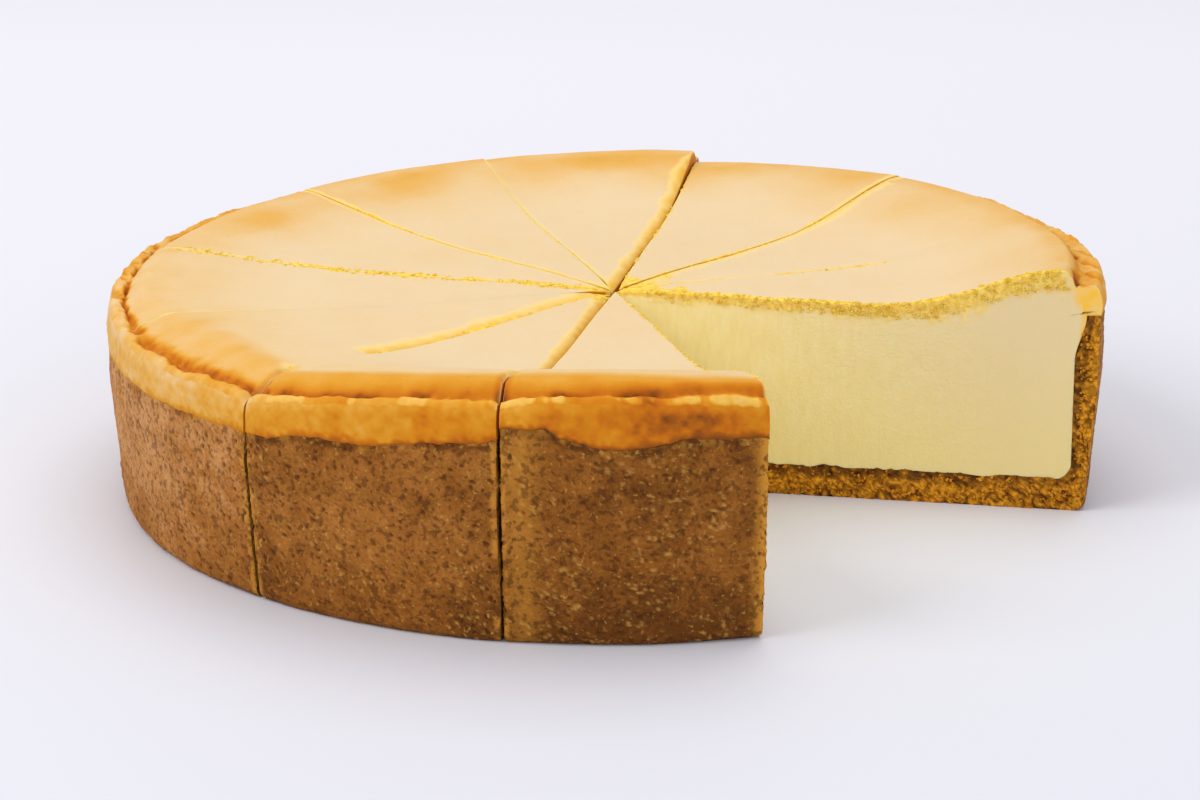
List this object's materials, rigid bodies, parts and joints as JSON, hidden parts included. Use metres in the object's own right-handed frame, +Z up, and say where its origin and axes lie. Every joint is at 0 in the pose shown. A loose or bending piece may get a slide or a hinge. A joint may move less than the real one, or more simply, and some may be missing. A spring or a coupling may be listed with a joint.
{
  "type": "baked cheesecake",
  "caption": "Round baked cheesecake on a crumb crust, cut into wedge slices with a sector missing so that its creamy inside shows.",
  "frame": {"origin": "middle of the whole round cake, on the surface that it stands on", "axes": "+Z up; the missing sector opens towards +X and -Y, so +X runs across the cake to the slice with the large open cut face, and -Y is the side that the crust shows on"},
  "size_m": [0.2538, 0.2538, 0.064],
  "materials": {
    "crumb_crust": "coarse baked biscuit crumb, matte",
    "baked_filling": "smooth baked cream-cheese filling, satin top"
  },
  "bodies": {
    "root": {"crust_01": "crumb_crust", "filling_01": "baked_filling", "crust_02": "crumb_crust", "filling_02": "baked_filling", "crust_03": "crumb_crust", "filling_03": "baked_filling", "crust_04": "crumb_crust", "filling_04": "baked_filling", "crust_05": "crumb_crust", "filling_05": "baked_filling", "crust_06": "crumb_crust", "filling_06": "baked_filling", "crust_07": "crumb_crust", "filling_07": "baked_filling", "crust_08": "crumb_crust", "filling_08": "baked_filling", "crust_09": "crumb_crust", "filling_09": "baked_filling", "crust_10": "crumb_crust", "filling_10": "baked_filling"}
  },
  "joints": []
}
